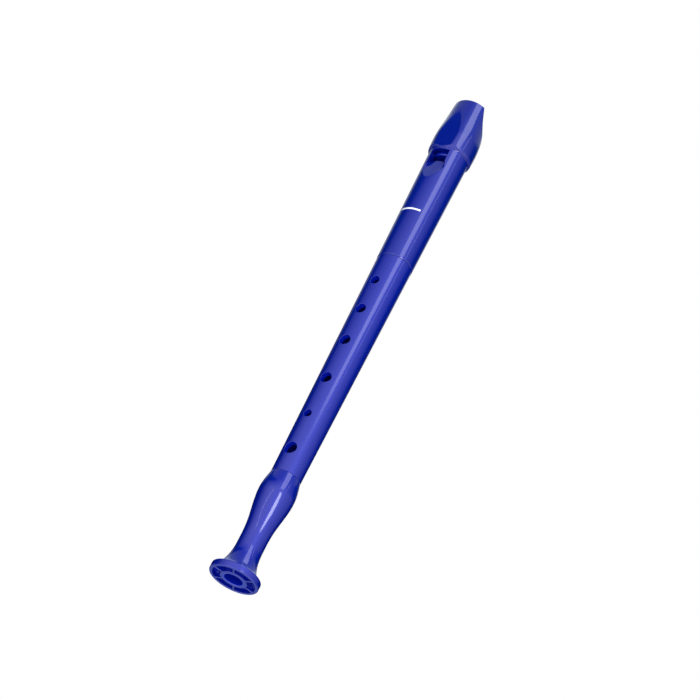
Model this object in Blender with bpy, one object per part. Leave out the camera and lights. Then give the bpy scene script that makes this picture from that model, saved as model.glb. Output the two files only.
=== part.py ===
"""A moulded plastic soprano recorder in five pieces.

Millimetres become metres at the end of each shape. +Z runs up the bore from the foot's end face to
the beak, the finger holes and the window face -Y, and +X is to the right seen from the front.
"""

import math

import bmesh
import bpy
from mathutils import Vector

MM = 0.001
GAP = 0.3  # clearance between neighbouring pieces
TURN_STEPS = 48  # facets around a turned piece

# Heights along the bore
FOOT_TOP = 62.6
HEAD_SEAM = 207.25
CAP_START = 287.4
BEAK_TIP = 325.0

# Foot: flange, flare, waist and bulge
FLANGE_R = 13.43
FLANGE_HEIGHT = 3.6
FLANGE_ROUND = 0.6
FLANGE_EDGE = 0.3
WAIST_R = 7.07
WAIST_Z = 19.2
FLARE_R = 13.05
BULGE = ((24.0, 7.05), (30.0, 7.28), (35.0, 7.82), (40.2, 8.67), (45.8, 9.49), (51.3, 9.88), (57.0, 9.39),
         (FOOT_TOP, 8.28))
FOOT_BORE_R = 5.05
FOOT_RING_R = 7.4
POCKET_R = 11.65
POCKET_DEPTH = 7.0
POCKET_FLOOR = 0.4
POCKET_SLANT = ((4.6, 9.4), (2.4, POCKET_R))
RIB_COUNT = 6
RIB_THICKNESS = 1.0
RIB_PHASE = math.radians(26.0)
LITTLE_HOLE_Z = 46.0
LITTLE_HOLE_D = 5.0
LITTLE_HOLE_TURN = math.radians(-68.0)

# Foot socket over the middle joint's lower tenon
LOWER_SOCKET_DEPTH = 12.6
LOWER_TENON_R = 7.0

# Middle joint
MIDDLE_LOW_R = 8.3
MIDDLE_TOP_R = 10.25
MIDDLE_BORE_LOW_R = 5.3
MIDDLE_BORE_TOP_R = 6.6
FINGER_HOLES = ((188.8, 5.2), (168.9, 6.0), (147.4, 6.3), (122.0, 6.4), (98.4, 4.4), (76.3, 7.0))
THUMB_HOLE = (194.0, 5.5)

# Head socket over the middle joint's upper tenon
UPPER_TENON_R = 8.6
UPPER_TENON_LENGTH = 18.0

# Head tube
HEAD_LOW_R = 10.45
HEAD_TOP_R = 11.6
HEAD_BORE_R = 7.6
SPIGOT_R = 10.0
SPIGOT_TOP = 300.0

# Window, ramp and windway
WINDOW_TOP = 286.0
WINDOW_HALF = 5.35
RAMP_HALF = 6.4
RAMP_START_Z = 264.3
RAMP_SLOPE = 0.198
RAMP_TUBE_R = 11.35
LABIUM_Z = 279.0
LABIUM_R = 8.3
WINDOW_FLOOR_Y = -4.0
ROOF_R_EXIT = 8.8
ROOF_R_TIP = 9.3
WINDWAY_HALF_TIP = 5.9
WINDWAY_FLOOR_R = 7.0
BLOCK_CHAMFER = 0.5

# Cap: barrel outline, flat front and hollow back cut
BARREL = ((CAP_START, HEAD_TOP_R), (288.2, 11.87), (289.2, 12.48), (290.6, 12.85), (296.0, 13.12),
          (303.0, 12.88), (310.5, 12.1), (317.7, 11.5), (324.2, 11.0), (BEAK_TIP, 10.4))
FACET_Y = -11.58
BACK_CUT = ((301.0, 14.2), (305.5, 7.6), (308.6, 4.0), (312.2, 0.4), (317.8, -2.7), (BEAK_TIP, -4.8))
TIP_SLOPE = 0.3  # how fast the back cut still falls at the tip

# Cutters
RAMP_OVERRUN = 0.6  # share of the ramp's length that its cutter adds below it
OUTSIDE = 18.0  # a reach beyond every surface
BEYOND = 5.0  # how far a cutter runs past the end it cuts


def clear_scene():
    for obj in list(bpy.data.objects):
        bpy.data.objects.remove(obj, do_unlink=True)


def plastic(name, colour, roughness):
    """A glossy moulded plastic."""
    material = bpy.data.materials.new(name)
    material.use_nodes = True
    shader = material.node_tree.nodes["Principled BSDF"]
    shader.inputs["Base Color"].default_value = (*colour, 1.0)
    shader.inputs["Roughness"].default_value = roughness
    shader.inputs["Metallic"].default_value = 0.0
    return material


def smooth_curve(stations, steps):
    """Points of a smooth curve through (z, r) stations, with the steepness of a Catmull-Rom curve."""
    def slope(index):
        low = max(index - 1, 0)
        high = min(index + 1, len(stations) - 1)
        return (stations[high][1] - stations[low][1]) / (stations[high][0] - stations[low][0])

    points = []
    for index in range(len(stations) - 1):
        (z0, r0), (z1, r1) = stations[index], stations[index + 1]
        span = z1 - z0
        for step in range(steps):
            t = step / steps
            rise = (3 - 2 * t) * t * t
            start = t * (1 - t) ** 2 * span * slope(index)
            end = t * t * (t - 1) * span * slope(index + 1)
            points.append((z0 + t * span, r0 + rise * (r1 - r0) + start + end))
    points.append(stations[-1])
    return points


def arc(centre_z, centre_r, radius_z, radius_r, start, end, steps):
    """Points of an elliptical arc. Angle 0 points outwards and 90 degrees points up."""
    angles = [math.radians(start + (end - start) * step / steps) for step in range(steps + 1)]
    return [(centre_z + radius_z * math.sin(a), centre_r + radius_r * math.cos(a)) for a in angles]


def mesh_object(name, bm, material=None):
    bmesh.ops.remove_doubles(bm, verts=bm.verts, dist=1e-7)
    bmesh.ops.recalc_face_normals(bm, faces=bm.faces)
    mesh = bpy.data.meshes.new(name)
    bm.to_mesh(mesh)
    bm.free()
    obj = bpy.data.objects.new(name, mesh)
    bpy.context.scene.collection.objects.link(obj)
    if material:
        mesh.materials.append(material)
        mesh.shade_smooth()
        mesh.set_sharp_from_angle(angle=math.radians(30))
    return obj


def turned(name, outline, material=None):
    """Spins a closed outline of (z, r) points around the bore."""
    bm = bmesh.new()
    verts = [bm.verts.new((r * MM, 0, z * MM)) for z, r in outline]
    edges = [bm.edges.new((verts[i - 1], verts[i])) for i in range(len(verts))]
    bmesh.ops.spin(bm, geom=verts + edges, cent=(0, 0, 0), axis=(0, 0, 1), angle=2 * math.pi,
                   steps=TURN_STEPS, use_merge=True)
    return mesh_object(name, bm, material)


def lofted(name, sections):
    """Joins closed sections of (x, y, z) points, one after the other, and caps both ends."""
    bm = bmesh.new()
    rings = [[bm.verts.new(Vector(point) * MM) for point in section] for section in sections]
    for low, high in zip(rings, rings[1:]):
        for i in range(len(low)):
            bm.faces.new((low[i - 1], low[i], high[i], high[i - 1]))
    bm.faces.new(rings[0])
    bm.faces.new(rings[-1])
    return mesh_object(name, bm)


def around(r, angle, z):
    """A point at radius r, turned by angle from the front towards +X."""
    return (r * math.sin(angle), -r * math.cos(angle), z)


def drill(name, z, diameter, turn):
    """A cylinder that bores one wall, from the bore outwards."""
    bm = bmesh.new()
    bmesh.ops.create_cone(bm, cap_ends=True, segments=32, radius1=diameter / 2 * MM,
                          radius2=diameter / 2 * MM, depth=OUTSIDE * MM)
    drill_object = mesh_object(name, bm)
    drill_object.location = Vector(around(OUTSIDE / 2, turn, z)) * MM
    drill_object.rotation_euler = (math.radians(90), 0, turn)
    return drill_object


def cut(target, cutter):
    cutter.hide_render = True
    cutter.display_type = "WIRE"
    modifier = target.modifiers.new(cutter.name, "BOOLEAN")
    modifier.operation = "DIFFERENCE"
    modifier.object = cutter


def head_outer_r(z):
    share = (z - HEAD_SEAM) / (CAP_START - HEAD_SEAM)
    return HEAD_LOW_R + share * (HEAD_TOP_R - HEAD_LOW_R)


def foot_outline():
    flange_low = arc(FLANGE_ROUND, FLANGE_R - FLANGE_ROUND, FLANGE_ROUND, FLANGE_ROUND, -90, 0, 3)
    flange_top = arc(FLANGE_HEIGHT - FLANGE_EDGE, FLARE_R, FLANGE_EDGE, FLANGE_R - FLARE_R, 0, 90, 2)
    flare = arc(WAIST_Z, FLARE_R, WAIST_Z - FLANGE_HEIGHT, FLARE_R - WAIST_R, 270, 180, 9)[1:]
    bulge = smooth_curve(BULGE, 2)
    floor = FOOT_TOP - LOWER_SOCKET_DEPTH
    socket_r = LOWER_TENON_R + GAP
    inside = [(FOOT_TOP, socket_r), (floor, socket_r), (floor, FOOT_BORE_R), (0, FOOT_BORE_R)]
    return flange_low + flange_top + flare + bulge + inside


def pocket(index):
    """One pocket of the flange's face, with sides parallel to the ribs beside it."""
    pitch = 2 * math.pi / RIB_COUNT
    start = RIB_PHASE + index * pitch
    profile = [(-BEYOND, FOOT_RING_R), (POCKET_DEPTH, FOOT_RING_R),
               (POCKET_DEPTH, FOOT_RING_R + POCKET_FLOOR), *POCKET_SLANT, (-BEYOND, POCKET_R)]
    steps = 6
    sections = []
    for step in range(steps + 1):
        section = []
        for z, r in profile:
            inset = math.asin(RIB_THICKNESS / 2 / r)
            angle = start + inset + (pitch - 2 * inset) * step / steps
            section.append(around(r, angle, z))
        sections.append(section)
    return lofted(f"pocket_cutter_{index + 1}", sections)


def foot_joint(material):
    foot = turned("foot_joint", foot_outline(), material)
    for index in range(RIB_COUNT):
        cut(foot, pocket(index))
    cut(foot, drill("little_finger_drill", LITTLE_HOLE_Z, LITTLE_HOLE_D, LITTLE_HOLE_TURN))
    return foot


def middle_joint(material):
    tenon_low = FOOT_TOP - LOWER_SOCKET_DEPTH + GAP
    tenon_top = HEAD_SEAM + UPPER_TENON_LENGTH
    outline = [
        (tenon_low, LOWER_TENON_R), (FOOT_TOP + GAP, LOWER_TENON_R), (FOOT_TOP + GAP, MIDDLE_LOW_R),
        (HEAD_SEAM - GAP, MIDDLE_TOP_R), (HEAD_SEAM - GAP, UPPER_TENON_R), (tenon_top, UPPER_TENON_R),
        (tenon_top, MIDDLE_BORE_TOP_R), (tenon_low, MIDDLE_BORE_LOW_R),
    ]
    middle = turned("middle_joint", outline, material)
    for number, (z, diameter) in enumerate(FINGER_HOLES, start=1):
        cut(middle, drill(f"finger_drill_{number}", z, diameter, 0))
    cut(middle, drill("thumb_drill", THUMB_HOLE[0], THUMB_HOLE[1], math.pi))
    return middle


def window_cutter():
    """The window and its ramp. The ramp is flat where it leaves the tube and arched at the labium."""
    steps = 12
    sections = []
    for step in range(steps + 1):
        share = 2 * step / steps - 1
        out_x = RAMP_HALF * share
        in_x = WINDOW_HALF * share
        start_r = head_outer_r(RAMP_START_Z)
        out_y = -math.sqrt(RAMP_TUBE_R ** 2 - out_x ** 2)
        out_z = RAMP_START_Z + (out_y + start_r) / RAMP_SLOPE
        in_y = -math.sqrt(LABIUM_R ** 2 - in_x ** 2)
        outer = Vector((out_x, out_y, out_z))
        inner = Vector((in_x, in_y, LABIUM_Z))
        beyond = outer + (outer - inner) * RAMP_OVERRUN
        sections.append([beyond, outer, inner, (in_x, WINDOW_FLOOR_Y, LABIUM_Z),
                         (in_x, WINDOW_FLOOR_Y, WINDOW_TOP), (in_x, -OUTSIDE, WINDOW_TOP),
                         (beyond.x, -OUTSIDE, beyond.z)])
    return lofted("window_cutter", sections)


def windway_cutter(name):
    """An arched slot above the block, which widens and rises towards the tip."""
    low_z = WINDOW_TOP - 1
    high_z = BEAK_TIP + 1
    profile = [(low_z, WINDWAY_FLOOR_R, WINDOW_HALF), (low_z, ROOF_R_EXIT, WINDOW_HALF),
               (high_z, ROOF_R_TIP, WINDWAY_HALF_TIP), (high_z, WINDWAY_FLOOR_R, WINDWAY_HALF_TIP)]
    steps = 8
    sections = []
    for step in range(steps + 1):
        share = 2 * step / steps - 1
        sections.append([around(r, share * math.asin(half / r), z) for z, r, half in profile])
    return lofted(name, sections)


def head_tube(material):
    socket_r = UPPER_TENON_R + GAP
    socket_top = HEAD_SEAM + UPPER_TENON_LENGTH + GAP
    outline = [
        (HEAD_SEAM, HEAD_LOW_R), (CAP_START - GAP, head_outer_r(CAP_START - GAP)),
        (CAP_START - GAP, SPIGOT_R), (SPIGOT_TOP, SPIGOT_R), (SPIGOT_TOP, HEAD_BORE_R),
        (socket_top, HEAD_BORE_R), (socket_top, socket_r), (HEAD_SEAM, socket_r),
    ]
    head = turned("head_tube", outline, material)
    cut(head, window_cutter())
    cut(head, windway_cutter("windway_cutter_in_tube"))
    return head


def facet_cutter():
    """Shaves the front of the barrel flat, level with the tube's front line."""
    low_z = CAP_START - BEYOND
    top_z = BEAK_TIP + BEYOND
    section = [(FACET_Y, low_z), (FACET_Y, top_z), (-OUTSIDE, top_z), (-OUTSIDE, low_z)]
    return lofted("facet_cutter", [[(x, y, z) for y, z in section] for x in (-OUTSIDE, OUTSIDE)])


def back_cutter(name):
    """Shaves the beak's back along a slope that flattens towards the tip."""
    slope = smooth_curve(BACK_CUT, 3)
    end_z, end_y = slope[-1]
    end = (end_z + BEYOND, end_y - TIP_SLOPE * BEYOND)
    section = slope + [end, (end_z + BEYOND, OUTSIDE), (slope[0][0] - BEYOND, OUTSIDE)]
    return lofted(name, [[(x, y, z) for z, y in section] for x in (-OUTSIDE, OUTSIDE)])


def mouthpiece_cap(material):
    socket_r = SPIGOT_R + GAP
    socket_top = SPIGOT_TOP + GAP
    outline = smooth_curve(BARREL, 3) + [
        (BEAK_TIP, HEAD_BORE_R), (socket_top, HEAD_BORE_R), (socket_top, socket_r), (CAP_START, socket_r),
    ]
    cap = turned("mouthpiece_cap", outline, material)
    cut(cap, facet_cutter())
    cut(cap, back_cutter("back_cutter_of_cap"))
    cut(cap, windway_cutter("windway_cutter_in_cap"))
    return cap


def windway_block(material):
    radius = HEAD_BORE_R - GAP
    outline = [(WINDOW_TOP, 0), (WINDOW_TOP, radius - BLOCK_CHAMFER), (WINDOW_TOP + BLOCK_CHAMFER, radius),
               (BEAK_TIP, radius), (BEAK_TIP, 0)]
    block = turned("windway_block", outline, material)
    cut(block, back_cutter("back_cutter_of_block"))
    return block


def build():
    clear_scene()
    blue = plastic("blue_plastic", (0.035, 0.04, 0.42), 0.22)
    inner_blue = plastic("block_plastic", (0.04, 0.045, 0.45), 0.3)
    foot_joint(blue)
    middle_joint(blue)
    head_tube(blue)
    mouthpiece_cap(blue)
    windway_block(inner_blue)


build()
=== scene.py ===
"""Looks of the moulded plastic soprano recorder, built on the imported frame.

The pieces are modelled as fields in millimetres, negative inside, and meshed where the field is zero.
+Z runs up the bore from the foot to the beak, the holes and the window face -Y, and azimuths count
from -Y towards +X.
"""

import math

import bpy
import numpy as np
from mathutils import Matrix, Vector


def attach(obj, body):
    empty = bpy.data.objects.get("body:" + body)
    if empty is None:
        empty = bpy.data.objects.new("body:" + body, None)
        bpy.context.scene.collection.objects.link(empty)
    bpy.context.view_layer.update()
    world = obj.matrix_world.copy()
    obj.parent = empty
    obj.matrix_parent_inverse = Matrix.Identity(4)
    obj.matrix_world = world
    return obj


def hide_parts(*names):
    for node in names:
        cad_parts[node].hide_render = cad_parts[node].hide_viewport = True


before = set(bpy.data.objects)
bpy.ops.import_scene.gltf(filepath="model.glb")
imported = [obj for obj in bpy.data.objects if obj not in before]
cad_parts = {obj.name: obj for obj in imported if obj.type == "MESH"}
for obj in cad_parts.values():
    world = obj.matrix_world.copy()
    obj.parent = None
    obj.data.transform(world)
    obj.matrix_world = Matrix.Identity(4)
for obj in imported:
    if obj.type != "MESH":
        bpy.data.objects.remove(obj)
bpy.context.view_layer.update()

MM = 0.001
SEAM = 0.02  # half the visible gap at a seam

# Heights along the bore
FOOT_TOP = 62.6
HEAD_SEAM = 207.25
CAP_START = 287.4
BEAK_TIP = 325.0

# Foot
FLANGE_R = 13.43
FLANGE_HEIGHT = 3.6
FLANGE_ROUND = 0.6
FLANGE_BACK_ROUND = 0.35
FLARE_R = 13.05
FLARE_LEAST_STEEP = 0.05
WAIST_Z = 19.2
WAIST_R = 7.07
BULGE = ((WAIST_Z, WAIST_R), (24.0, 7.05), (30.0, 7.28), (35.0, 7.82), (40.2, 8.67), (45.8, 9.49),
         (51.3, 9.88), (57.0, 9.39), (FOOT_TOP, 8.28))
FOOT_BORE_R = 5.05
FOOT_RING_R = 7.4
POCKET_R = 11.65
POCKET_DEPTH = 7.0
POCKET_LEAN_Z = 2.4  # from here up a pocket's outer wall leans in, to stay under the flare
POCKET_LEAN = (0.68, 0.73)  # direction of the leaning wall's normal, outwards and up
RIB_COUNT = 6
RIB_THICKNESS = 1.0
RIB_PHASE = math.radians(26.0)
LITTLE_HOLE_Z = 46.0
LITTLE_HOLE_D = 5.0
LITTLE_HOLE_TURN = math.radians(-68.0)
LOWER_SOCKET_FLOOR = 50.0
LOWER_TENON_R = 7.0

# Middle joint
MIDDLE_LOW_R = 8.3
MIDDLE_TOP_R = 10.25
MIDDLE_BORE_LOW_R = 5.3
MIDDLE_BORE_TOP_R = 6.6
TENON_LOW_Z = 50.3
TENON_TOP_Z = 225.25
UPPER_TENON_R = 8.6
TENON_ROUND = 0.4
BORE_EDGE = 0.2
FINGER_HOLES = ((188.8, 5.2), (168.9, 6.0), (147.4, 6.3), (122.0, 6.4), (98.4, 4.4), (76.3, 7.0))
THUMB_HOLE = (194.0, 5.5)
HOLE_ROUND = 0.18

# Roundings that several pieces share
FINE_ROUND = 0.05
SEAM_ROUND = 0.06
SOFT_ROUND = 0.3

# Head
HEAD_LOW_R = 10.45
HEAD_RIM_HEIGHT = 0.5  # the rim's chamfer ends this far above the seam
HEAD_RIM_LEAN = (0.982, 0.187)  # direction of the chamfer's normal, outwards and down
HEAD_TOP_R = 11.6
HEAD_BORE_R = 7.6
UPPER_SOCKET_TOP = 225.55
SPIGOT_R = 10.0
SPIGOT_TOP = 300.0
SPIGOT_ROOT = 4.0  # how far the spigot reaches down into the tube
CAP_SEAM_ROUND = 0.03
WINDOW_TOP = 286.0
WINDOW_HALF = 5.35
RAMP_HALF = 6.4
RAMP_START_Z = 264.3
RAMP_SLOPE = 0.198
RAMP_TUBE_R = 11.35
RAMP_OVERRUN = 0.8  # how far the ramp's cut runs on beyond its start, as a share of its length
WINDOW_DEEP = 4.0
WINDOW_ROUND = 0.1
LABIUM_Z = 279.0
ARCH_Y = 3.2  # the labium, the windway and the block's top are arched about this line
RAMP_ROUNDS = 5
LABIUM_ARCH = 11.4
ROOF_ARCH_EXIT = 12.0
ROOF_ARCH_TIP = 12.5
BLOCK_ARCH = 10.75
WINDWAY_HALF_TIP = 5.9
WINDWAY_DEEP = 2.0
WINDWAY_OVERRUN = 1.0
WINDWAY_ROUND = 0.15
WINDWAY_CAP_EDGE = 0.2
WINDOW_EDGE = 0.12
BLOCK_R = 7.55
BLOCK_START = 284.6
BLOCK_CHAMFER = 0.5
BLOCK_FIT = 0.05
BLOCK_ROUND = 0.1
BLOCK_TIP_ROUND = 0.15
NECK_START = 286.6
NECK_FLARE = 0.09
BARREL = ((CAP_START, HEAD_TOP_R + NECK_FLARE), (287.65, 11.755), (287.85, 11.83), (288.05, 11.97),
          (288.25, 12.2), (288.45, 12.46), (288.6, 12.63), (288.75, 12.74), (288.95, 12.81),
          (289.3, 12.86), (290.2, 12.92), (291.5, 12.98), (293.5, 13.06), (296.0, 13.12),
          (303.0, 12.88), (310.5, 12.1), (317.7, 11.5), (324.2, 11.0), (BEAK_TIP + 2, 10.7))
FACET_Y = -11.58
FACET_ROUND = 0.25
BACK_ROUND = 0.35
TIP_ROUND = 0.45
BACK_CUT = ((299.0, 17.0), (301.0, 14.2), (305.5, 7.6), (308.6, 4.0), (312.2, 0.4), (317.8, -2.7),
            (BEAK_TIP, -4.8), (BEAK_TIP + 3, -5.6))

# Curves and meshing: how far off the field is sampled, how points are pulled onto its surface
SPLINE_STEP = 0.05
SAMPLE_REACH = 0.01
PULL_ROUNDS = 4
LONGEST_PULL = 0.12
PULL_LEAST_STEEP = 0.3
NO_LENGTH = 1e-9

# Camera
VIEW_AZIMUTH = math.radians(37.0)
VIEW_ELEVATION = math.radians(-30.3)
VIEW_DISTANCE = 1.0615
VIEW_ROLL = math.radians(27.13)
VIEW_AIM_Z = 0.1474
VIEW_AIM_SIDE = -0.00049
VIEW_LENS = 102.857

# Plastic colours, deep and light, and gloss. The one blue is painted lighter on the middle and the
# foot and darker on the cap, as painted light and shade: more light falls lower down
LIT_MIDDLE_DEEP, LIT_MIDDLE_LIGHT = (0.0003, 0.0072, 0.185), (0.0005, 0.008, 0.2)
HEAD_DEEP, HEAD_LIGHT = (0.0003, 0.0066, 0.165), (0.0005, 0.0073, 0.18)
SHADED_CAP_DEEP, SHADED_CAP_LIGHT = (0.0003, 0.006, 0.145), (0.0005, 0.0066, 0.158)
# Painted light: the block's blue is lighter, so its shaded front face in the window reads brighter
LIT_BLOCK_DEEP, LIT_BLOCK_LIGHT = (0.0005, 0.011, 0.26), (0.0008, 0.012, 0.29)
# Painted light: a lighter blue for the bore and the pockets, standing in for light that comes through
# the plastic
PAINTED_THROUGH_LIGHT_COLOUR = (0.002, 0.036, 0.95, 1.0)
WORN_COLOUR = (0.05, 0.06, 0.42, 1.0)
PRINT_COLOUR = (0.85, 0.86, 0.9, 1.0)
COAT_TINT = (0.06, 0.62, 1.0, 1.0)
BASE_TINT = (0.0, 0.045, 1.0, 1.0)
WHITE = (1.0, 1.0, 1.0, 1.0)
GLOSS = (0.07, 0.11)
SATIN = (0.22, 0.3)

# Where the painted through-light goes: below a radius that may grow with the height, up to top_z, and
# in the foot's pockets, up to pockets_z. share is how much of the painted through-light colour is
# mixed in.
MIDDLE_TAPER = (MIDDLE_TOP_R - MIDDLE_LOW_R) / (HEAD_SEAM - FOOT_TOP)
MIDDLE_THROUGH_LIGHT = {"inside_r": 7.0, "taper": MIDDLE_TAPER, "top_z": HEAD_SEAM, "share": 0.3}
FOOT_THROUGH_LIGHT = {"inside_r": 6.3, "top_z": FOOT_TOP, "pockets_z": POCKET_DEPTH + 0.4, "share": 0.15}
HEAD_THROUGH_LIGHT = {"inside_r": 7.7, "top_z": BEAK_TIP, "share": 1.0}
CAP_THROUGH_LIGHT = {"inside_r": 9.0, "top_z": BEAK_TIP, "share": 0.5}
THROUGH_LIGHT_FADE = 0.5

# The pockets as the painted through-light sees them: just outside their walls and off the flange's
# face
POCKET_GLOW_R = POCKET_R + 0.25
POCKET_GLOW_LEAN_R = 15.5  # radius of the leaning wall, carried down to the flange's face
POCKET_GLOW_LEAN = -1.05
POCKET_GLOW_LOW_Z = 0.8
POCKET_GLOW_FADE = 0.2
POCKET_GLOW_FADE_Z = 0.6

# Grain of the plastic: noise scales, and how strongly each shows
FLOW_SCALE = 140.0
FLOW_STRETCH = 0.25
FLOW_RANGE = (0.15, 0.85)
WEAR_SCALE = 500.0
WEAR_MOST = 0.35
WORN_POINTINESS = (0.53, 0.62)
GLOSS_SCALE = 60.0
SCUFF_SCALE = 900.0
SCUFF_RANGE = (0.62, 0.75)
SCUFF_ROUGHNESS = 0.02
RIPPLE_SCALE = 220.0
RIPPLE_STRENGTH = 0.004
RIPPLE_DEPTH = 0.0002
PLASTIC_IOR = 1.5
BASE_SPECULAR = 0.85
BASE_ROUGHER = 0.35  # how much rougher the base is than the coat over it

# Printed bar on the head, in mm
BAR_LEFT, BAR_RIGHT = -6.2, 5.8
BAR_LOW, BAR_HIGH = 239.8, 240.9
BAR_EDGE = 0.2
BAR_FRONT_Y = -5.0

# Floor, in metres
FLOOR_HALF = 1.5
FLOOR_LEVEL = -0.0005
FLOOR_DARK = (0.78, 0.78, 0.78, 1.0)
FLOOR_LIGHT = (0.82, 0.82, 0.82, 1.0)
FLOOR_GRAIN = 40.0
FLOOR_ROUGHNESS = 0.7

# Strengths of the studio's lights
LOW_WALL = 1.88
HIGH_WALL = 1.35
HIGH_WALL_FOOT = 0.32
ROOM_BELOW = 0.01
ROOM_ABOVE = 0.5
BEHIND = 0.45
UNDER = 0.42
UNDER_DEEP = 1.6
TALL_LAMP = 2.75
LOW_LAMP = 9.2
SIDE_LINE = 2.5
LEFT_LINE = 3.2
LAMP_FADE = 2.0


# Fields -------------------------------------------------------------------------------------------

def both(a, b, k=0.0):
    """What lies in both fields, with the edge between them rounded by k."""
    sharp = np.maximum(a, b)
    if k == 0.0:
        return sharp
    return np.minimum(sharp, -k) + np.hypot(np.maximum(a + k, 0), np.maximum(b + k, 0))


def either(a, b, k=0.0):
    """What lies in one field or the other, with the corner between them filled by k."""
    return -both(-a, -b, k)


def without(a, b, k=0.0):
    """The first field less the second, with the edge between them rounded by k."""
    return both(a, -b, k)


def between(z, low, high):
    return np.maximum(low - z, z - high)


def line(z, z0, r0, z1, r1):
    return r0 + (z - z0) / (z1 - z0) * (r1 - r0)


def spline(stations):
    """Fine tables of z, value and slope for a natural cubic spline through the stations."""
    z = np.array([s[0] for s in stations], float)
    r = np.array([s[1] for s in stations], float)
    gap = np.diff(z)
    rise = np.diff(r) / gap
    count = len(z)
    matrix = np.eye(count)
    right = np.zeros(count)
    for i in range(1, count - 1):
        matrix[i, i - 1:i + 2] = (gap[i - 1], 2 * (gap[i - 1] + gap[i]), gap[i])
        right[i] = 6 * (rise[i] - rise[i - 1])
    bend = np.linalg.solve(matrix, right)
    fine = np.linspace(z[0], z[-1], int((z[-1] - z[0]) / SPLINE_STEP) + 1)
    i = np.clip(np.searchsorted(z, fine, side="right") - 1, 0, count - 2)
    a = z[i + 1] - fine
    b = fine - z[i]
    h = gap[i]
    value = (bend[i] * a ** 3 + bend[i + 1] * b ** 3) / (6 * h)
    value += (r[i] / h - bend[i] * h / 6) * a + (r[i + 1] / h - bend[i + 1] * h / 6) * b
    return fine, value, np.gradient(value, fine)


def under_curve(height, z, table):
    """How far a height lies beyond a tabled curve over z, measured square to the curve."""
    at = np.interp(z, table[0], table[1])
    slope = np.interp(z, table[0], table[2])
    return (height - at) / np.sqrt(1 + slope ** 2)


def drilled(x, y, z, hole_z, diameter, turn):
    """A straight hole through the wall on one side."""
    along = x * math.sin(turn) - y * math.cos(turn)
    across = x * math.cos(turn) + y * math.sin(turn)
    return both(np.hypot(across, z - hole_z) - diameter / 2, -along)


BULGE_CURVE = spline(BULGE)
BARREL_CURVE = spline(BARREL)
BACK_CURVE = spline(BACK_CUT)


def pockets(r, turn, z):
    """The hollows in the flange's face: a ring cut into six by the ribs."""
    pitch = 2 * math.pi / RIB_COUNT
    off = np.mod(turn - RIB_PHASE + pitch / 2, pitch) - pitch / 2
    rib = RIB_THICKNESS / 2 - np.abs(r * np.sin(off))
    lean = (r - POCKET_R) * POCKET_LEAN[0] + (z - POCKET_LEAN_Z) * POCKET_LEAN[1]
    outer = both(r - POCKET_R, lean, SOFT_ROUND)
    hollow = both(both(FOOT_RING_R - r, outer, SOFT_ROUND), z - POCKET_DEPTH, SOFT_ROUND)
    return both(hollow, rib, SOFT_ROUND)


def foot_flare(r, z):
    """The foot between flange and waist, hollowed by a quarter of an ellipse in r and z."""
    long_way = WAIST_Z - FLANGE_HEIGHT
    wide_way = FLARE_R - WAIST_R
    dz = np.maximum(WAIST_Z - z, 0)
    dr = np.maximum(FLARE_R - r, 0)
    level = (dz / long_way) ** 2 + (dr / wide_way) ** 2
    steepness = 2 * np.hypot(dz / long_way ** 2, dr / wide_way ** 2)
    return np.maximum((1 - level) / np.maximum(steepness, FLARE_LEAST_STEEP), r - FLARE_R)


def foot_field(x, y, z):
    r = np.hypot(x, y)
    turn = np.arctan2(x, -y)
    body = np.where(z < WAIST_Z, foot_flare(r, z), under_curve(r, z, BULGE_CURVE))
    flange = both(r - FLANGE_R, z - FLANGE_HEIGHT, FLANGE_BACK_ROUND)
    solid = either(flange, body, SOFT_ROUND)
    solid = both(solid, -z, FLANGE_ROUND)
    solid = both(solid, z - (FOOT_TOP - SEAM), SEAM_ROUND)
    bore = either(r - FOOT_BORE_R, both(r - LOWER_TENON_R - SEAM, LOWER_SOCKET_FLOOR - z))
    solid = without(solid, bore, SOFT_ROUND)
    solid = without(solid, pockets(r, turn, z), SOFT_ROUND)
    hole = drilled(x, y, z, LITTLE_HOLE_Z, LITTLE_HOLE_D, LITTLE_HOLE_TURN)
    return without(solid, hole, HOLE_ROUND)


def middle_field(x, y, z):
    r = np.hypot(x, y)
    body = r - line(z, FOOT_TOP, MIDDLE_LOW_R, HEAD_SEAM, MIDDLE_TOP_R)
    body = both(body, between(z, FOOT_TOP + SEAM, HEAD_SEAM - SEAM), SEAM_ROUND)
    tenon_r = np.where(z < (FOOT_TOP + HEAD_SEAM) / 2, LOWER_TENON_R - SEAM, UPPER_TENON_R)
    tenon = both(r - tenon_r, between(z, TENON_LOW_Z, TENON_TOP_Z), TENON_ROUND)
    bore = r - line(z, FOOT_TOP, MIDDLE_BORE_LOW_R, HEAD_SEAM, MIDDLE_BORE_TOP_R)
    solid = without(np.minimum(body, tenon), bore, BORE_EDGE)
    holes = drilled(x, y, z, THUMB_HOLE[0], THUMB_HOLE[1], math.pi)
    for hole_z, diameter in FINGER_HOLES:
        holes = np.minimum(holes, drilled(x, y, z, hole_z, diameter, 0.0))
    return without(solid, holes, HOLE_ROUND)


def head_outer_r(z):
    flare = NECK_FLARE * np.maximum((z - NECK_START) / (CAP_START - NECK_START), 0) ** 2
    return line(z, HEAD_SEAM, HEAD_LOW_R, CAP_START, HEAD_TOP_R) + flare


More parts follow.
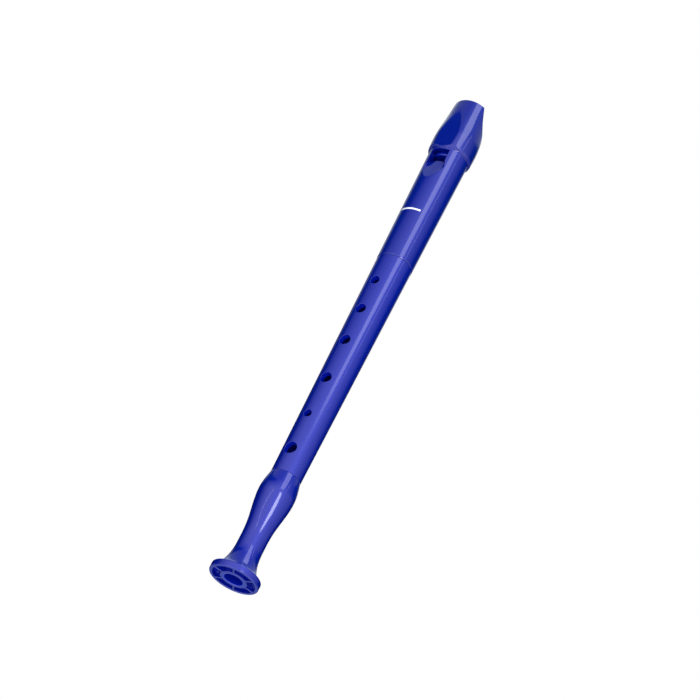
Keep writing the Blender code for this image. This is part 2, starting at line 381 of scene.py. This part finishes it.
def window(x, y, z):
    """The window and its ramp. The ramp is flat where it leaves the tube and arched at the labium."""
    narrow = RAMP_HALF - WINDOW_HALF
    start_r = head_outer_r(RAMP_START_Z)
    share = np.clip(x / RAMP_HALF, -1, 1)
    for _ in range(RAMP_ROUNDS):  # settles which line of the ramp passes each point
        out_y = -np.sqrt(RAMP_TUBE_R ** 2 - (RAMP_HALF * share) ** 2)
        out_z = RAMP_START_Z + (out_y + start_r) / RAMP_SLOPE
        run = np.clip((z - out_z) / (LABIUM_Z - out_z), -RAMP_OVERRUN, 1)
        share = np.clip(x / (RAMP_HALF - narrow * run), -1, 1)
    in_y = ARCH_Y - np.sqrt(LABIUM_ARCH ** 2 - (WINDOW_HALF * share) ** 2)
    ramp_y = out_y + run * (in_y - out_y)
    steep = (in_y - out_y) / (LABIUM_Z - out_z)
    half = RAMP_HALF - narrow * run
    above_ramp = (y - ramp_y) / np.sqrt(1 + steep ** 2)
    side = np.abs(x) - half
    ramp = both(above_ramp, side, WINDOW_ROUND)
    opening = both(np.maximum(y + WINDOW_DEEP, side), between(z, LABIUM_Z, WINDOW_TOP), WINDOW_ROUND)
    return np.where(z < LABIUM_Z, np.minimum(ramp, opening), opening)


def windway(x, y, z):
    """The arched slot above the block, which widens and rises towards the tip."""
    roof = line(z, WINDOW_TOP, ROOF_ARCH_EXIT, BEAK_TIP, ROOF_ARCH_TIP)
    half = line(z, WINDOW_TOP, WINDOW_HALF, BEAK_TIP, WINDWAY_HALF_TIP)
    slot = both(np.abs(x) - half, np.hypot(x, y - ARCH_Y) - roof, WINDWAY_ROUND)
    return np.maximum(np.maximum(slot, y + WINDWAY_DEEP), WINDOW_TOP - WINDWAY_OVERRUN - z)


def head_tube_field(x, y, z):
    r = np.hypot(x, y)
    above_rim = z - HEAD_SEAM - HEAD_RIM_HEIGHT
    chamfer = (r - HEAD_LOW_R) * HEAD_RIM_LEAN[0] - above_rim * HEAD_RIM_LEAN[1]
    body = both(both(r - head_outer_r(z), chamfer, FINE_ROUND), HEAD_SEAM + SEAM - z, FINE_ROUND)
    body = both(body, z - CAP_START + SEAM, CAP_SEAM_ROUND)
    spigot = both(r - SPIGOT_R, between(z, CAP_START - SPIGOT_ROOT, SPIGOT_TOP), SOFT_ROUND)
    bore = either(r - HEAD_BORE_R, both(r - UPPER_TENON_R - SEAM, z - UPPER_SOCKET_TOP))
    solid = without(np.minimum(body, spigot), bore, BORE_EDGE)
    solid = without(solid, window(x, y, z), WINDOW_EDGE)
    return without(solid, windway(x, y, z), WINDOW_EDGE)


def beak_outline(x, y, z):
    r = np.hypot(x, y)
    barrel = both(under_curve(r, z, BARREL_CURVE), FACET_Y - y, FACET_ROUND)
    barrel = both(barrel, under_curve(y, z, BACK_CURVE), BACK_ROUND)
    return both(barrel, z - BEAK_TIP, TIP_ROUND)


def cap_field(x, y, z):
    r = np.hypot(x, y)
    solid = both(beak_outline(x, y, z), CAP_START + SEAM - z, CAP_SEAM_ROUND)
    bore = either(r - HEAD_BORE_R, both(r - SPIGOT_R - SEAM, z - SPIGOT_TOP - SEAM))
    solid = without(solid, bore, FINE_ROUND)
    return without(solid, windway(x, y, z), WINDWAY_CAP_EDGE)


def block_field(x, y, z):
    """A round bar in the bore with a narrow tongue at the front, both under the windway's floor."""
    arch = np.hypot(x, y - ARCH_Y) - BLOCK_ARCH
    barrel = np.hypot(x, y) - BLOCK_R
    tongue = np.maximum(np.abs(x) - WINDOW_HALF + BLOCK_FIT, y)
    bar = np.maximum(arch, np.minimum(barrel, tongue))
    chamfer = (arch + BLOCK_CHAMFER + BLOCK_START - z) * math.sqrt(0.5)
    solid = both(both(bar, BLOCK_START - z, FINE_ROUND), chamfer, BLOCK_ROUND)
    solid = both(solid, under_curve(y, z, BACK_CURVE), BLOCK_ROUND)
    return both(solid, z - BEAK_TIP, BLOCK_TIP_ROUND)


# Meshing ------------------------------------------------------------------------------------------

def axis(stretches, end):
    """Grid lines from stretches of (start, spacing) up to the end."""
    starts = [s[0] for s in stretches] + [end]
    lines = []
    for (start, spacing), stop in zip(stretches, starts[1:]):
        count = max(1, round((stop - start) / spacing))
        lines.append(np.linspace(start, stop, count, endpoint=False))
    lines.append([end])
    return np.concatenate(lines)


def polar(r, turn, z):
    return r * np.sin(turn), -r * np.cos(turn), z


def square(x, y, z):
    return x, y, z


def gradient(field, points):
    """The field's mean value and slope at the points, from four samples round each."""
    value = np.zeros(len(points))
    slope = np.zeros((len(points), 3))
    for corner in ((1, -1, -1), (-1, -1, 1), (-1, 1, -1), (1, 1, 1)):
        offset = np.array(corner, float)
        sample = field(*(points + offset * SAMPLE_REACH).T)
        value += sample / 4
        slope += sample[:, None] * offset / (4 * SAMPLE_REACH)
    return value, slope


def corner_cells(inside):
    """How many corners of each cell are inside."""
    count = np.zeros(tuple(n - 1 for n in inside.shape), np.int8)
    for i in (0, 1):
        for j in (0, 1):
            for k in (0, 1):
                count += inside[i:inside.shape[0] - 1 + i, j:inside.shape[1] - 1 + j,
                                k:inside.shape[2] - 1 + k]
    return count


def cell_points(values, axes, cells):
    """The mean of the crossings on each cell's twelve edges, in grid coordinates."""
    total = np.zeros((len(cells), 3))
    hits = np.zeros(len(cells))
    for along in range(3):
        others = [d for d in range(3) if d != along]
        for low in ((0, 0), (0, 1), (1, 0), (1, 1)):
            start = cells.copy()
            start[:, others[0]] += low[0]
            start[:, others[1]] += low[1]
            end = start.copy()
            end[:, along] += 1
            a = values[tuple(start.T)]
            b = values[tuple(end.T)]
            crossed = (a < 0) != (b < 0)
            share = np.where(crossed, a / np.where(crossed, a - b, 1), 0)
            spot = np.stack([axes[d][start[:, d]] for d in range(3)], 1)
            spot[:, along] += share * (axes[along][end[:, along]] - axes[along][start[:, along]])
            total += spot * crossed[:, None]
            hits += crossed
    return total / hits[:, None]


def cell_faces(inside, number, wraps):
    """One quad round every grid edge that the surface crosses, facing outwards."""
    faces = []
    for along in range(3):
        e, f = (along + 1) % 3, (along + 2) % 3
        low = np.take(inside, range(inside.shape[along] - 1), axis=along)
        high = np.take(inside, range(1, inside.shape[along]), axis=along)
        edges = np.argwhere(low != high)
        for d in (e, f):
            first = 0 if wraps and d == 1 else 1
            edges = edges[(edges[:, d] >= first) & (edges[:, d] < number.shape[d])]
        quad = []
        for back_e, back_f in ((0, 0), (1, 0), (1, 1), (0, 1)):
            cell = edges.copy()
            cell[:, e] -= back_e
            cell[:, f] -= back_f
            if wraps:
                cell[:, 1] %= number.shape[1]
            quad.append(number[tuple(cell.T)])
        quad = np.stack(quad, 1)
        outward = low[tuple(edges.T)]
        quad[~outward] = quad[~outward][:, ::-1]
        faces.append(quad)
    return np.concatenate(faces)


def pull(field, points):
    """The steps that take the points back from the field's surface, none of them long."""
    value, slope = gradient(field, points)
    steep = np.maximum((slope ** 2).sum(1), PULL_LEAST_STEEP)
    step = slope * (value / steep)[:, None]
    length = np.linalg.norm(step, axis=1)
    return step * np.minimum(1, LONGEST_PULL / np.maximum(length, NO_LENGTH))[:, None]


def meshed(field, axes, place, wraps):
    """Points, quads and normals of the field's surface."""
    values = field(*place(*np.meshgrid(*axes, indexing="ij")))
    if wraps:
        values = np.concatenate([values, values[:, :1]], axis=1)
        axes = (axes[0], np.append(axes[1], axes[1][0] + 2 * math.pi), axes[2])
    inside = values < 0
    count = corner_cells(inside)
    active = (count > 0) & (count < 8)
    cells = np.argwhere(active)
    number = np.full(active.shape, -1)
    number[tuple(cells.T)] = np.arange(len(cells))
    points = np.stack(place(*cell_points(values, axes, cells).T), 1)
    quads = cell_faces(inside, number, wraps)
    for _ in range(PULL_ROUNDS):
        points -= pull(field, points)
    slope = gradient(field, points)[1]
    normals = slope / np.maximum(np.linalg.norm(slope, axis=1), NO_LENGTH)[:, None]
    return points, quads, normals


def piece(node, body, material, field, place, axes):
    """Adds the fine mesh that stands for a node and rides on a body."""
    name = f"{node}_body"
    points, quads, normals = meshed(field, axes, place, place is polar)
    mesh = bpy.data.meshes.new(name)
    mesh.from_pydata((points * MM).tolist(), [], quads.tolist())
    mesh.update()
    mesh.shade_smooth()
    mesh.normals_split_custom_set_from_vertices(normals.tolist())
    mesh.materials.append(material)
    obj = bpy.data.objects.new(name, mesh)
    bpy.context.scene.collection.objects.link(obj)
    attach(obj, body)
    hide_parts(node)


def around_axis(stretches):
    """A grid axis once round the bore, from stretches of (start, spacing) in degrees."""
    return np.radians(axis(stretches, stretches[0][0] + 360)[:-1])


# Node helpers -------------------------------------------------------------------------------------

class Nodes:
    """Short ways to build a node tree."""

    def __init__(self, tree):
        self.tree = tree

    def add(self, kind, **settings):
        node = self.tree.nodes.new(kind)
        for key, value in settings.items():
            setattr(node, key, value)
        return node

    def put(self, socket, value):
        if isinstance(value, bpy.types.NodeSocket):
            self.tree.links.new(value, socket)
        else:
            socket.default_value = value

    def math(self, operation, *values):
        node = self.add("ShaderNodeMath", operation=operation)
        for socket, value in zip(node.inputs, values):
            self.put(socket, value)
        return node.outputs[0]

    def split(self, vector):
        node = self.add("ShaderNodeSeparateXYZ")
        self.put(node.inputs[0], vector)
        return node.outputs

    def millimetres(self, vector):
        return [self.math("MULTIPLY", part, 1 / MM) for part in self.split(vector)]

    def step(self, value, low, high):
        """Rises smoothly from 0 at low to 1 at high, which may be the smaller."""
        node = self.add("ShaderNodeMapRange", interpolation_type="SMOOTHSTEP")
        self.put(node.inputs[0], value)
        node.inputs[1].default_value = low
        node.inputs[2].default_value = high
        return node.outputs[0]

    def slope(self, value, low, high):
        """Rises evenly from 0 at low to 1 at high, which may be the smaller."""
        node = self.add("ShaderNodeMapRange")
        self.put(node.inputs[0], value)
        node.inputs[1].default_value = low
        node.inputs[2].default_value = high
        return node.outputs[0]

    def product(self, *values):
        result = values[0]
        for value in values[1:]:
            result = self.math("MULTIPLY", result, value)
        return result

    def clamp(self, value):
        node = self.add("ShaderNodeClamp")
        self.put(node.inputs[0], value)
        return node.outputs[0]

    def band(self, value, low, high, soft):
        """1 between low and high, fading over soft on both sides."""
        rise = self.step(value, low - soft / 2, low + soft / 2)
        fall = self.step(value, high + soft / 2, high - soft / 2)
        return self.math("MULTIPLY", rise, fall)

    def noise(self, vector, scale, detail=3.0):
        node = self.add("ShaderNodeTexNoise")
        self.put(node.inputs["Vector"], vector)
        node.inputs["Scale"].default_value = scale
        node.inputs["Detail"].default_value = detail
        return node.outputs["Fac"]

    def mix(self, share, a, b):
        node = self.add("ShaderNodeMix", data_type="RGBA")
        self.put(node.inputs[0], share)
        self.put(node.inputs[6], a)
        self.put(node.inputs[7], b)
        return node.outputs[2]

    def ramp(self, value, low, high):
        """Maps 0..1 to low..high."""
        node = self.add("ShaderNodeMapRange")
        self.put(node.inputs[0], value)
        node.inputs[3].default_value = low
        node.inputs[4].default_value = high
        return node.outputs[0]


def plastic(name, deep, light, roughness, bore=None, print_band=False):
    """Glossy moulded plastic: faint flow marks in the colour, uneven gloss, fine ripple, worn edges.

    The plastic lets a little light through; that light is painted into the colour as a lighter blue
    in the bore and in the pockets.
    """
    material = bpy.data.materials.new(name)
    material.use_nodes = True
    n = Nodes(material.node_tree)
    shader = material.node_tree.nodes["Principled BSDF"]
    place = n.add("ShaderNodeTexCoord").outputs["Object"]
    colour = n.mix(flow_marks(n, place), (*deep, 1.0), (*light, 1.0))
    if bore:
        # Painted light: the lighter through-light blue on the bore and the pockets
        colour = n.mix(painted_through_light(n, place, **bore), colour, PAINTED_THROUGH_LIGHT_COLOUR)
    colour = n.mix(worn_edges(n, place), colour, WORN_COLOUR)
    tint = COAT_TINT
    if print_band:
        mark = printed(n, place)
        colour = n.mix(mark, colour, PRINT_COLOUR)
        tint = n.mix(mark, tint, WHITE)
    rough = uneven_gloss(n, place, *roughness)
    n.put(shader.inputs["Base Color"], colour)
    n.put(shader.inputs["Roughness"], n.math("ADD", rough, BASE_ROUGHER))
    shader.inputs["IOR"].default_value = PLASTIC_IOR
    shader.inputs["Specular IOR Level"].default_value = BASE_SPECULAR
    shader.inputs["Specular Tint"].default_value = BASE_TINT
    shader.inputs["Coat Weight"].default_value = 1.0
    shader.inputs["Coat IOR"].default_value = PLASTIC_IOR
    n.put(shader.inputs["Coat Roughness"], rough)
    n.put(shader.inputs["Coat Tint"], tint)
    bump = n.add("ShaderNodeBump")
    bump.inputs["Strength"].default_value = RIPPLE_STRENGTH
    bump.inputs["Distance"].default_value = RIPPLE_DEPTH
    n.put(bump.inputs["Height"], n.noise(place, RIPPLE_SCALE, 2.0))
    n.put(shader.inputs["Normal"], bump.outputs[0])
    n.put(shader.inputs["Coat Normal"], bump.outputs[0])
    return material


def flow_marks(n, place):
    """Faint streaks along the bore, where the plastic flowed into the mould."""
    stretched = n.add("ShaderNodeMapping")
    stretched.inputs["Scale"].default_value = (1.0, 1.0, FLOW_STRETCH)
    n.put(stretched.inputs["Vector"], place)
    return n.ramp(n.noise(stretched.outputs[0], FLOW_SCALE, 4.0), *FLOW_RANGE)


def worn_edges(n, place):
    """Sharp edges, rubbed here and there."""
    edge = n.step(n.add("ShaderNodeNewGeometry").outputs["Pointiness"], *WORN_POINTINESS)
    return n.math("MULTIPLY", edge, n.ramp(n.noise(place, WEAR_SCALE), 0.0, WEAR_MOST))


def uneven_gloss(n, place, low, high):
    """Broad changes of gloss with small scuffs."""
    scuff = n.step(n.noise(place, SCUFF_SCALE, 5.0), *SCUFF_RANGE)
    rough = n.ramp(n.noise(place, GLOSS_SCALE, 5.0), low, high)
    return n.math("ADD", rough, n.math("MULTIPLY", scuff, SCUFF_ROUGHNESS))


def painted_through_light(n, place, inside_r, top_z, share, taper=0.0, pockets_z=0.0):
    """Mask of painted light: share on the surfaces inside the bore and in the foot's pockets, and 0
    outside.
    """
    x, y, z = n.millimetres(place)
    radius = n.math("SQRT", n.math("ADD", n.product(x, x), n.product(y, y)))
    straight = n.math("MULTIPLY_ADD", z, -taper, radius)
    inside = n.step(straight, inside_r, inside_r - THROUGH_LIGHT_FADE)
    inside = n.product(inside, n.math("LESS_THAN", z, top_z))
    if pockets_z > 0.0:
        leaning = n.math("MULTIPLY_ADD", z, POCKET_GLOW_LEAN, POCKET_GLOW_LEAN_R)
        outer_wall = n.math("MINIMUM", leaning, POCKET_GLOW_R)
        pocket = n.step(n.math("SUBTRACT", outer_wall, radius), 0.0, POCKET_GLOW_FADE)
        off_face = n.band(z, POCKET_GLOW_LOW_Z, pockets_z, POCKET_GLOW_FADE_Z)
        inside = n.math("MAXIMUM", inside, n.product(pocket, off_face))
    return n.product(share, inside)


def printed(n, place):
    """1 on a plain bar across the front of the head, which has no letters, and 0 elsewhere."""
    x, y, z = n.millimetres(place)
    across = n.band(x, BAR_LEFT, BAR_RIGHT, BAR_EDGE)
    up = n.band(z, BAR_LOW, BAR_HIGH, BAR_EDGE)
    return n.product(across, up, n.math("LESS_THAN", y, BAR_FRONT_Y))


# Studio, with all angles in degrees ---------------------------------------------------------------

def studio_world():
    """White backdrop for the camera, and for every other ray a soft wall of light with two lamps."""
    world = bpy.data.worlds.new("studio")
    bpy.context.scene.world = world
    world.use_nodes = True
    n = Nodes(world.node_tree)
    output = world.node_tree.nodes["World Output"]
    room = world.node_tree.nodes["Background"]
    x, y, z = n.split(n.add("ShaderNodeTexCoord").outputs["Generated"])
    azimuth = n.math("DEGREES", n.math("ARCTAN2", x, n.math("MULTIPLY", y, -1.0)))
    elevation = n.math("DEGREES", n.math("ARCSINE", z))
    light = wall_light(n, azimuth, elevation)
    for lamp in (tall_lamp, low_lamp, side_line, left_line):
        light = n.math("ADD", light, lamp(n, azimuth, elevation))
    room.inputs["Color"].default_value = WHITE
    n.put(room.inputs["Strength"], light)
    backdrop = n.add("ShaderNodeBackground")
    backdrop.inputs["Color"].default_value = WHITE
    join = n.add("ShaderNodeMixShader")
    n.put(join.inputs[0], n.add("ShaderNodeLightPath").outputs["Is Camera Ray"])
    n.put(join.inputs[1], room.outputs[0])
    n.put(join.inputs[2], backdrop.outputs[0])
    n.put(output.inputs["Surface"], join.outputs[0])


def wall_light(n, azimuth, elevation):
    """A broad soft wall, wider low down than high up, with a dim room round it."""
    upward = n.step(elevation, 21.0, 31.0)
    low = n.product(low_wall(n, azimuth), n.math("SUBTRACT", 1.0, upward))
    wall = n.math("ADD", low, n.product(high_wall(n, azimuth, elevation), upward))
    under = n.math("MULTIPLY_ADD", n.step(elevation, -38.0, -50.0), UNDER_DEEP, UNDER)
    under = n.product(under, n.step(elevation, 8.0, -4.0))
    return n.math("MAXIMUM", n.math("MAXIMUM", wall, under), dim_room(n, azimuth, elevation))


def low_wall(n, azimuth):
    left = n.step(azimuth, -78.0, 4.0)
    right = n.slope(azimuth, 160.0, 60.0)
    return n.product(LOW_WALL, left, right)


def high_wall(n, azimuth, elevation):
    """Its left side leans to the right as it rises, and its top is weaker."""
    edge = n.math("MULTIPLY_ADD", n.slope(elevation, 31.5, 37.0), 48.0, -72.0)
    full = 30.0
    rise = n.math("DIVIDE", n.math("SUBTRACT", azimuth, edge), n.math("SUBTRACT", full, edge))
    right = n.slope(azimuth, 138.0, 50.0)
    peak = n.math("MULTIPLY_ADD", n.slope(elevation, 36.0, 28.0), HIGH_WALL_FOOT, HIGH_WALL)
    overhead = n.ramp(n.step(elevation, 38.5, 42.5), 1.0, 0.6)
    return n.product(peak, n.clamp(rise), right, overhead)


def dim_room(n, azimuth, elevation):
    """Almost dark low down, lighter overhead, with a faint light behind on the left."""
    room = n.math("MULTIPLY_ADD", n.step(elevation, 38.0, 41.5), ROOM_ABOVE, ROOM_BELOW)
    behind = n.product(BEHIND, n.step(azimuth, -85.0, -105.0), n.step(elevation, 27.0, 34.0))
    return n.math("ADD", room, behind)


def box_lamp(n, strength, azimuth, left, right, height):
    """A lamp from left to right, fading by LAMP_FADE to either side of both edges."""
    after_left = n.step(azimuth, left - LAMP_FADE, left + LAMP_FADE)
    before_right = n.step(n.math("SUBTRACT", right, azimuth), -LAMP_FADE, LAMP_FADE)
    return n.product(strength, n.product(after_left, before_right), height)


def tall_lamp(n, azimuth, elevation):
    """A tall box that leans to the right as it rises. It makes the long streak on tube and head."""
    right = n.math("MULTIPLY_ADD", elevation, 0.9, 33.0)
    return box_lamp(n, TALL_LAMP, azimuth, 38.0, right, n.band(elevation, 27.0, 75.0, 1.5))


def low_lamp(n, azimuth, elevation):
    """A brighter box lower down, which shows on the bulge."""
    right = n.math("MINIMUM", n.math("MULTIPLY_ADD", elevation, -0.7, 71.0), 68.0)
    return box_lamp(n, LOW_LAMP, azimuth, 46.0, right, n.band(elevation, 3.0, 20.5, 2.0))


def side_line(n, azimuth, elevation):
    """A thin bright edge to the right of the tall lamp."""
    off = n.math("SUBTRACT", azimuth, n.math("MULTIPLY_ADD", elevation, 1.1, 44.0))
    return n.product(SIDE_LINE, n.band(off, -1.2, 1.2, 1.0), n.band(elevation, 28.0, 44.0, 3.0))


def left_line(n, azimuth, elevation):
    """A thin bright edge to the left, low down."""
    off = n.math("SUBTRACT", azimuth, n.math("MULTIPLY_ADD", elevation, 1.2, -17.0))
    return n.product(LEFT_LINE, n.band(off, -1.5, 1.5, 1.0), n.band(elevation, 3.0, 20.0, 3.0))


def pale_floor():
    """A pale floor under the foot. It's clear when seen from below, where the main camera is."""
    mesh = bpy.data.meshes.new("studio_floor")
    sides = ((-1, -1), (1, -1), (1, 1), (-1, 1))
    corners = [(FLOOR_HALF * x, FLOOR_HALF * y, FLOOR_LEVEL) for x, y in sides]
    mesh.from_pydata(corners, [], [(0, 1, 2, 3)])
    floor = bpy.data.objects.new("studio_floor", mesh)
    bpy.context.scene.collection.objects.link(floor)
    for ray in ("diffuse", "glossy", "transmission", "shadow"):
        setattr(floor, f"visible_{ray}", False)
    material = bpy.data.materials.new("pale_floor")
    material.use_nodes = True
    n = Nodes(material.node_tree)
    shader = material.node_tree.nodes["Principled BSDF"]
    shader.inputs["Roughness"].default_value = FLOOR_ROUGHNESS
    grain = n.noise(n.add("ShaderNodeTexCoord").outputs["Object"], FLOOR_GRAIN)
    n.put(shader.inputs["Base Color"], n.mix(grain, FLOOR_DARK, FLOOR_LIGHT))
    clear = n.add("ShaderNodeBsdfTransparent")
    join = n.add("ShaderNodeMixShader")
    n.put(join.inputs[0], n.add("ShaderNodeNewGeometry").outputs["Backfacing"])
    n.put(join.inputs[1], shader.outputs[0])
    n.put(join.inputs[2], clear.outputs[0])
    n.put(material.node_tree.nodes["Material Output"].inputs["Surface"], join.outputs[0])
    mesh.materials.append(material)


def camera():
    data = bpy.data.cameras.new("camera")
    data.lens = VIEW_LENS
    data.clip_start = 0.01
    data.clip_end = 20.0
    obj = bpy.data.objects.new("camera", data)
    bpy.context.scene.collection.objects.link(obj)
    a, e = VIEW_AZIMUTH, VIEW_ELEVATION
    back = Vector((math.sin(a) * math.cos(e), -math.cos(a) * math.cos(e), math.sin(e)))
    level = Vector((math.cos(a), math.sin(a), 0.0))
    upright = back.cross(level)
    right = level * math.cos(VIEW_ROLL) + upright * math.sin(VIEW_ROLL)
    up = upright * math.cos(VIEW_ROLL) - level * math.sin(VIEW_ROLL)
    aim = Vector((0, 0, VIEW_AIM_Z)) + level * VIEW_AIM_SIDE
    spot = aim + back * VIEW_DISTANCE
    obj.matrix_world = Matrix((
        (right.x, up.x, back.x, spot.x),
        (right.y, up.y, back.y, spot.y),
        (right.z, up.z, back.z, spot.z),
        (0, 0, 0, 1),
    ))
    bpy.context.scene.camera = obj


# The object ---------------------------------------------------------------------------------------

def middle_rows():
    """Heights of the middle joint's grid, fine at the seams, the tenons' ends and the holes."""
    rows = [(TENON_LOW_Z - 0.6, 0.3), (TENON_LOW_Z + 1.2, 2.0)]
    rows += [(FOOT_TOP - 0.6, 0.12), (FOOT_TOP + 0.8, 1.6)]
    fine = 0.2
    coarse = 2.0
    for hole_z, diameter in sorted(FINGER_HOLES + (THUMB_HOLE,)):
        low = hole_z - diameter / 2 - 0.8
        high = hole_z + diameter / 2 + 0.8
        if low <= rows[-1][0]:
            rows[-1] = (rows[-1][0], fine)
        else:
            rows.append((low, fine))
        rows.append((high, coarse))
    rows += [(HEAD_SEAM - 1.0, 0.12), (HEAD_SEAM + 0.6, 2.0), (TENON_TOP_Z - 1.2, 0.3)]
    return axis(rows, TENON_TOP_Z + 0.6)


def middle_joint():
    # Painted light: the middle and the foot use the lighter copy of the blue
    blue = plastic("blue_plastic_middle", LIT_MIDDLE_DEEP, LIT_MIDDLE_LIGHT, GLOSS, MIDDLE_THROUGH_LIGHT)
    radii = axis([(4.8, 0.3)], MIDDLE_TOP_R + 0.6)
    turns = around_axis([(-200, 1.25), (-160, 6.0), (-27, 1.0), (27, 6.0)])
    piece("middle_joint", "middle", blue, middle_field, polar,
          (radii, turns, middle_rows()))


def foot_joint():
    blue = plastic("blue_plastic_foot", LIT_MIDDLE_DEEP, LIT_MIDDLE_LIGHT, GLOSS, FOOT_THROUGH_LIGHT)
    radii = axis([(4.6, 0.25)], 13.9)
    turns = around_axis([(-180, 1.6)])
    rows = [(-0.4, 0.2), (5.0, 0.35), (POCKET_DEPTH + 1.0, 0.7), (21.0, 1.0)]
    rows += [(42.6, 0.3), (LOWER_SOCKET_FLOOR + 0.6, 0.9), (FOOT_TOP - 1.0, 0.12)]
    rows = axis(rows, FOOT_TOP + 0.4)
    piece("foot_joint", "foot", blue, foot_field, polar, (radii, turns, rows))


def head_tube():
    blue = plastic("blue_plastic_head", HEAD_DEEP, HEAD_LIGHT, GLOSS, HEAD_THROUGH_LIGHT, print_band=True)
    radii = axis([(7.2, 0.1), (8.4, 0.2)], 12.0)
    turns = around_axis([(-180, 4.0), (-52, 0.8), (52, 4.0)])
    rows = [(HEAD_SEAM - 0.3, 0.12), (HEAD_SEAM + 1.5, 2.0), (224.6, 0.3), (226.4, 2.0)]
    rows += [(262.0, 0.4), (LABIUM_Z - 3.0, 0.2), (CAP_START + 1.0, 1.0), (SPIGOT_TOP - 1.0, 0.3)]
    rows = axis(rows, SPIGOT_TOP + 0.6)
    piece("head_tube", "head", blue, head_tube_field, polar, (radii, turns, rows))


def mouthpiece_cap():
    # Painted shade: the cap uses the darker copy of the blue
    blue = plastic("blue_plastic_cap", SHADED_CAP_DEEP, SHADED_CAP_LIGHT, GLOSS, CAP_THROUGH_LIGHT)
    radii = axis([(3.0, 0.2)], 13.5)
    turns = around_axis([(-180, 1.6)])
    rows = [(CAP_START - 0.3, 0.15), (291.0, 0.4), (SPIGOT_TOP - 1.0, 0.3)]
    rows += [(SPIGOT_TOP + 1.5, 0.4), (BEAK_TIP - 1.4, 0.15)]
    rows = axis(rows, BEAK_TIP + 0.4)
    piece("mouthpiece_cap", "head", blue, cap_field, polar, (radii, turns, rows))


def windway_block():
    satin = plastic("blue_plastic_block", LIT_BLOCK_DEEP, LIT_BLOCK_LIGHT, SATIN)
    side = axis([(-7.9, 0.25)], 7.9)
    rows = axis([(BLOCK_START - 0.4, 0.2), (287.0, 0.4), (BEAK_TIP - 1.2, 0.2)], BEAK_TIP + 0.4)
    piece("windway_block", "head", satin, block_field, square, (side, side, rows))


for make in (middle_joint, foot_joint, head_tube, mouthpiece_cap, windway_block):
    make()
studio_world()
pale_floor()
camera()
bpy.context.scene.view_settings.view_transform = "Standard"
bpy.context.scene.view_settings.look = "None"
